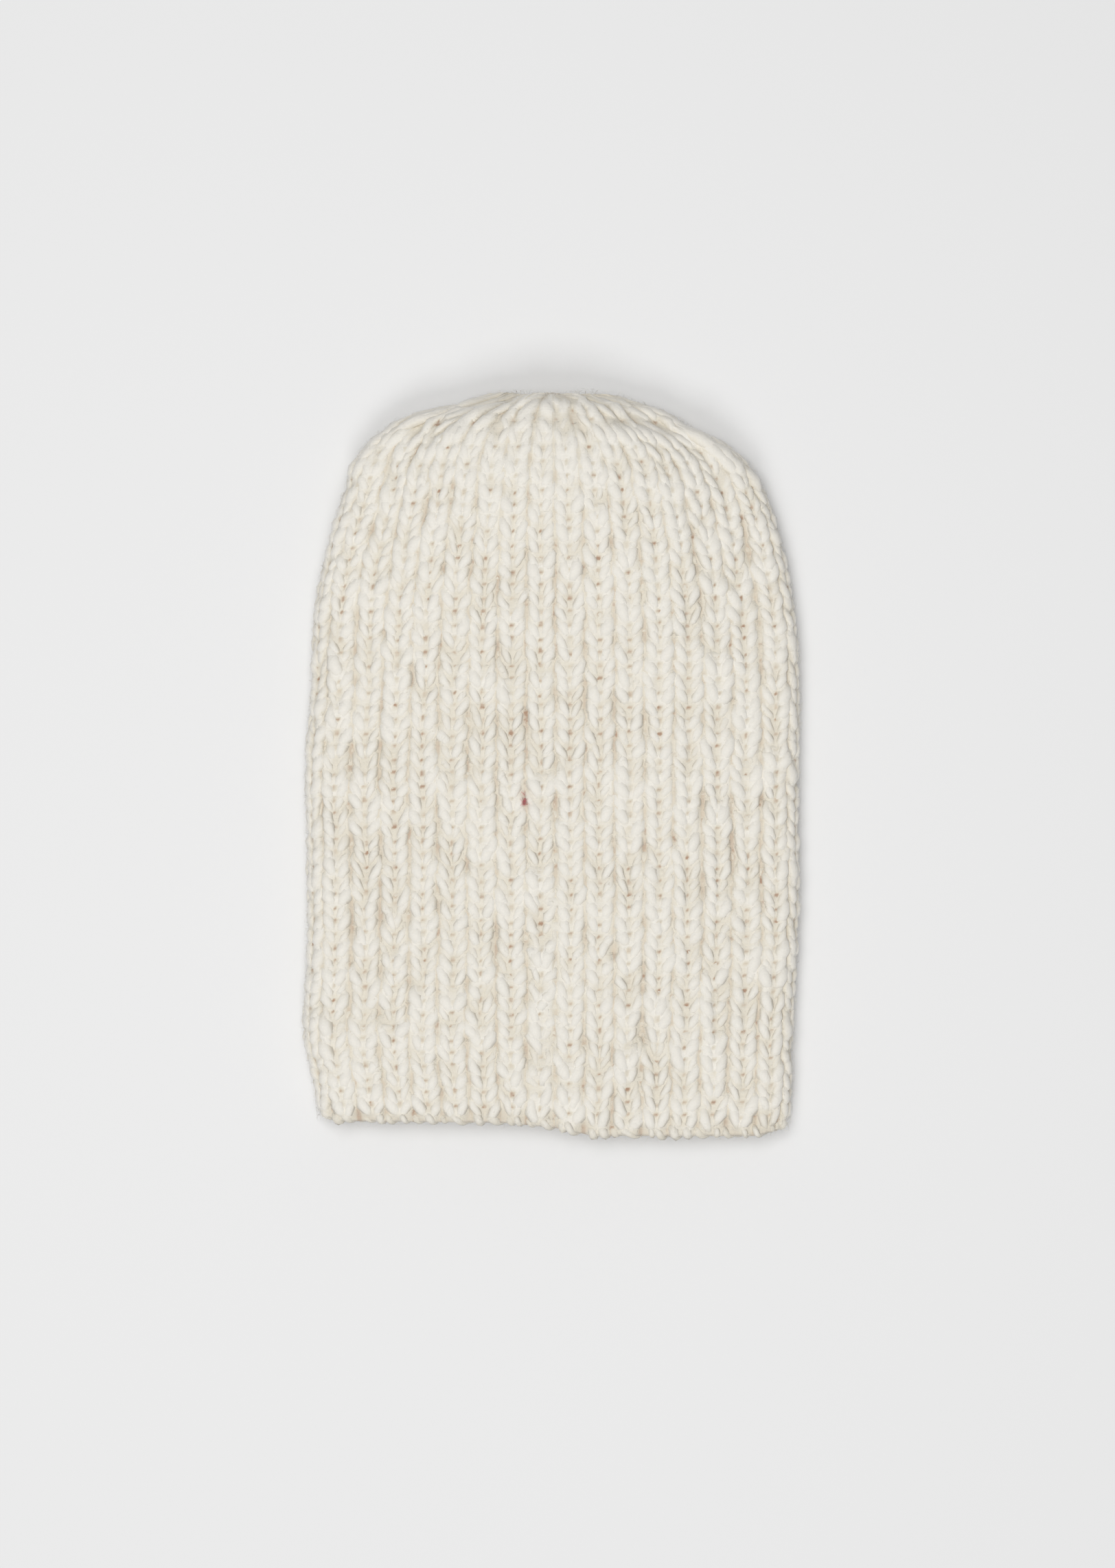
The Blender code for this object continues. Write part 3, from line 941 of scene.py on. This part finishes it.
class KnitSettings(bpy.types.PropertyGroup):
    course_pitch: length_property("Course pitch", "Height of one course", 0.00575)
    rib_pitch: length_property("Rib pitch", "Width of a knit and a purl column", 0.012)
    yarn: length_property("Yarn", "Mean thickness of the yarn", 0.0035)
    rib_phase: FloatProperty(
        name="Rib phase", description="Turn of the ribs round the cap, in ribs", default=0.625
    )
    slub: FloatProperty(
        name="Slub", description="How strongly the yarn swells and thins", default=0.24
    )
    unevenness: FloatProperty(
        name="Unevenness", description="How far the loops stray from even ones", default=1.0
    )
    seed: IntProperty(name="Seed", description="Which random knitting is made", default=7)
    # Painted highlight: the wool's colour on its crests.
    white: colour_property("White", "Colour of the wool on its crests", (0.828, 0.798, 0.732))
    # The wool's tone part way down, between the painted highlight and the painted shade.
    cream: colour_property("Cream", "Colour between the crests", (0.728, 0.683, 0.586))
    # Painted shade, deep between the stitches.
    shade: colour_property("Shade", "Colour deep between the stitches", (0.65, 0.58, 0.475))
    # Painted shade, the deepest one of the fibres in the furrows.
    matted: colour_property("Matted", "Colour inside the cloth", (0.62, 0.50, 0.38))
    # Painted shade, darkest brown: where the legs of a stitch meet, along the furrows, and in
    # dots where the wool lies deep.
    fleck: colour_property("Deepest Shade", "Colour of the deepest painted shade between the stitches", (0.42, 0.28, 0.20))
    beige: colour_property("Beige", "Colour of the closing yarn", (0.80, 0.75, 0.66))
    red: colour_property("Red", "Colour of the fleck of red fibres", (0.68, 0.14, 0.16))


class StageSettings(bpy.types.PropertyGroup):
    camera_height: length_property("Camera height", "Height of the camera over the floor", 1.6)
    frame_height: length_property("Frame height", "Height in view, at the cap's folds", 0.6765)
    floor: colour_property("Floor", "Colour of the floor", (0.82, 0.82, 0.82))


class BEANIE_OT_knit_courses(bpy.types.Operator):
    """Knits the courses from the hem to the crown"""

    bl_idname = "beanie.knit_courses"
    bl_label = "Knit the courses"

    def execute(self, context):
        settings = context.scene.beanie_knit
        skin = Skin()
        courses = knit_all(skin, settings)
        names = (
            "hem_courses", "lower_courses", "middle_courses", "upper_courses", "crown_courses",
        )
        tubes = [[] for _ in names]
        for index, course in enumerate(courses):
            yarn = tube(*laid(skin, course), index * COURSE_YARN)
            tubes[index * len(names) // len(courses)].append(yarn)
        for name, group in zip(names, tubes):
            add_piece(name, yarn_mesh(name, group))
        return {"FINISHED"}


class BEANIE_OT_cast_on(bpy.types.Operator):
    """Wraps the cast-on edge round the hem"""

    bl_idname = "beanie.cast_on"
    bl_label = "Wrap the cast-on edge"

    def execute(self, context):
        settings = context.scene.beanie_knit
        skin = Skin()
        rings, sink, start = tube(*laid(skin, cast_on_edge(settings)))
        mesh = yarn_mesh("cast_on_edge", [(rings, np.clip(sink, *EDGE_SINK), start)])
        add_piece("cast_on_edge", mesh)
        return {"FINISHED"}


class BEANIE_OT_closing_ring(bpy.types.Operator):
    """Draws the closing yarn through the last loops"""

    bl_idname = "beanie.closing_ring"
    bl_label = "Draw the closing yarn"

    def execute(self, context):
        settings = context.scene.beanie_knit
        random = np.random.default_rng(settings.seed + RING_SEED)
        mesh = yarn_mesh("gather_yarn", [tube(*closing_ring(settings, random))])
        add_piece("gather_yarn", mesh, "beige_wool_yarn", ("closing_yarn",))
        return {"FINISHED"}


class BEANIE_OT_fibre_web(bpy.types.Operator):
    """Lays the matted fibres that fill the middle of the cloth between its loops"""

    bl_idname = "beanie.fibre_web"
    bl_label = "Lay the matted fibres"

    def execute(self, context):
        settings = context.scene.beanie_knit
        skin = Skin()
        random = np.random.default_rng(settings.seed + WEB_SEED)
        rows = int(skin.length / WEB_ROW) + 2
        turn, run = np.meshgrid(np.arange(WEB_TURNS) / WEB_TURNS, np.arange(rows) * WEB_ROW)
        squeeze = skin.thinning(turn, run, settings.rib_pitch)
        ribs = np.cos(2 * math.pi * (turn * RIBS - settings.rib_phase))
        outer, notched = relief(skin, settings, random, run, squeeze, ribs)
        wave = WEB_WAVE * ribs
        inner = (wave - WEB_WALL / 2 - SKIN_DEPTH) * squeeze
        names = ("hem_web", "middle_web", "crown_web")
        for number, name in enumerate(names):
            low = max(1, rows * number // len(names) - 1)
            high = min(rows - 1, rows * (number + 1) // len(names) + 1)
            there = np.arange(low, high + 1)
            back = there[::-WEB_INNER]
            tucked = outer[there]
            tucked[[0, -1]] -= WEB_TUCK
            faces = [skin.lay(turn[there], run[there], tucked)[0]]
            faces.append(skin.lay(turn[back], run[back], inner[back])[0])
            ring = pressed(np.concatenate(faces))
            over = outer[there] / squeeze[there] + SKIN_DEPTH
            # How deep each point of the web lies, with the painted shade of the notches and
            # furrows added.
            sink = np.concatenate((sunk(over) + notched[there], sunk(wave[back] - WEB_WALL / 2)))
            add_piece(name, yarn_mesh(name, [(ring, sink, 0.0)], 1))
        return {"FINISHED"}


class BEANIE_OT_loose_fibres(bpy.types.Operator):
    """Strews loose fibres over the yarn, and the fleck of red ones"""

    bl_idname = "beanie.loose_fibres"
    bl_label = "Strew the loose fibres"

    def execute(self, context):
        settings = context.scene.beanie_knit
        skin = Skin()
        random = np.random.default_rng(settings.seed + FIBRE_SEED)
        for name, first in (("upper_furrow_fibres", 0), ("lower_furrow_fibres", RIBS // 2)):
            furrow = first + random.integers(0, RIBS // 2, FURROW_FIBRES)
            furrow = furrow + random.normal(size=FURROW_FIBRES) * FURROW_SPREAD
            turn = (furrow + 0.5 + settings.rib_phase) / RIBS
            run = random.uniform(EDGE_RUN, skin.length, FURROW_FIBRES)
            points = fibre_points(skin, random, turn, run, FURROW_HAIR)
            add_fibres(name, "furrow_wool", points)
        for name, first in (("upper_halo_fibres", 0.0), ("lower_halo_fibres", 0.5)):
            turn = first + random.uniform(0, 0.5, HALO_FIBRES)
            run = random.uniform(0, skin.length, HALO_FIBRES)
            add_fibres(name, "fuzz_wool", fibre_points(skin, random, turn, run, HALO_HAIR))
        fold = random.integers(0, 2, 2 * OUTLINE_FIBRES) / 2
        turn = fold + random.normal(size=2 * OUTLINE_FIBRES) * OUTLINE_SPREAD
        run = random.uniform(0, skin.length, 2 * OUTLINE_FIBRES)
        turn = np.concatenate((turn, random.uniform(0, 1, HEM_FIBRES)))
        run = np.concatenate((run, random.uniform(0, 2 * EDGE_RUN, HEM_FIBRES)))
        points = fibre_points(skin, random, turn, run, HALO_HAIR)
        add_fibres("outline_fibres", "fuzz_wool", points)
        fall = random.exponential(size=FLECK_FIBRES)
        turn = FLECK_TURN + random.normal(size=FLECK_FIBRES) * FLECK_WIDE
        run = FLECK_RUN + fall * FLECK_LONG
        points = fibre_points(skin, random, turn, run, FLECK_HAIR)
        add_fibres("red_fleck", "red_wool", points)
        return {"FINISHED"}


def add_floor(colour):
    """A plain pale floor under the cap."""
    bpy.ops.object.select_all(action="DESELECT")
    bpy.ops.mesh.primitive_plane_add(size=FLOOR_SIZE)
    floor = bpy.context.object
    floor.name = "floor"
    paint = bpy.data.materials.new("pale_floor")
    paint.use_nodes = True
    shader = paint.node_tree.nodes["Principled BSDF"]
    shader.inputs["Base Color"].default_value = (*colour, 1)
    shader.inputs["Roughness"].default_value = FLOOR_ROUGHNESS
    floor.data.materials.append(paint)


def add_camera(scene, height, frame_height):
    """A camera that looks straight down, with frame_height in view at the folds' height."""
    camera = bpy.data.objects.new("camera", bpy.data.cameras.new("camera"))
    scene.collection.objects.link(camera)
    camera.location = (*CAMERA_PLACE, height)
    camera.data.sensor_fit = "VERTICAL"
    camera.data.sensor_height = SENSOR
    camera.data.lens = SENSOR * (height - FOLD_HEIGHT / 2) / frame_height
    scene.camera = camera


def add_lights(scene):
    """The studio's light: even light from all round and the large lamps."""
    world = bpy.data.worlds.new("studio")
    world.use_nodes = True
    background = world.node_tree.nodes["Background"]
    background.inputs["Color"].default_value = (1, 1, 1, 1)
    background.inputs["Strength"].default_value = WORLD_STRENGTH
    scene.world = world
    for name, light in LIGHTS.items():
        lamp = bpy.data.lights.new(name, "AREA")
        lamp.size = light.size
        lamp.energy = light.energy
        placed = bpy.data.objects.new(name, lamp)
        scene.collection.objects.link(placed)
        placed.location = light.place
        placed.rotation_euler = (-placed.location).to_track_quat("-Z", "Y").to_euler()


class BEANIE_OT_stage(bpy.types.Operator):
    """Sets the pale floor, the soft light and the camera over the cap"""

    bl_idname = "beanie.stage"
    bl_label = "Set the stage"

    def execute(self, context):
        settings = context.scene.beanie_stage
        add_floor(settings.floor)
        add_camera(context.scene, settings.camera_height, settings.frame_height)
        add_lights(context.scene)
        context.scene.view_settings.view_transform = "Standard"
        return {"FINISHED"}


class BEANIE_PT_panel(bpy.types.Panel):
    """Lists the steps that knit the beanie"""

    bl_idname = "BEANIE_PT_panel"
    bl_label = "Beanie"
    bl_space_type = "VIEW_3D"
    bl_region_type = "UI"
    bl_category = "Beanie"

    def draw(self, context):
        for step in STEPS:
            self.layout.operator(step.bl_idname)


STEPS = (
    BEANIE_OT_knit_courses,
    BEANIE_OT_cast_on,
    BEANIE_OT_closing_ring,
    BEANIE_OT_fibre_web,
    BEANIE_OT_loose_fibres,
    BEANIE_OT_stage,
)
CLASSES = (KnitSettings, StageSettings) + STEPS + (BEANIE_PT_panel,)


def register():
    for item in CLASSES:
        bpy.utils.register_class(item)
    bpy.types.Scene.beanie_knit = PointerProperty(type=KnitSettings)
    bpy.types.Scene.beanie_stage = PointerProperty(type=StageSettings)


def unregister():
    del bpy.types.Scene.beanie_stage
    del bpy.types.Scene.beanie_knit
    for item in reversed(CLASSES):
        bpy.utils.unregister_class(item)


def main():
    register()
    bpy.ops.beanie.knit_courses()
    bpy.ops.beanie.cast_on()
    bpy.ops.beanie.closing_ring()
    bpy.ops.beanie.fibre_web()
    bpy.ops.beanie.loose_fibres()
    bpy.ops.beanie.stage()


if __name__ == "__main__":
    main()
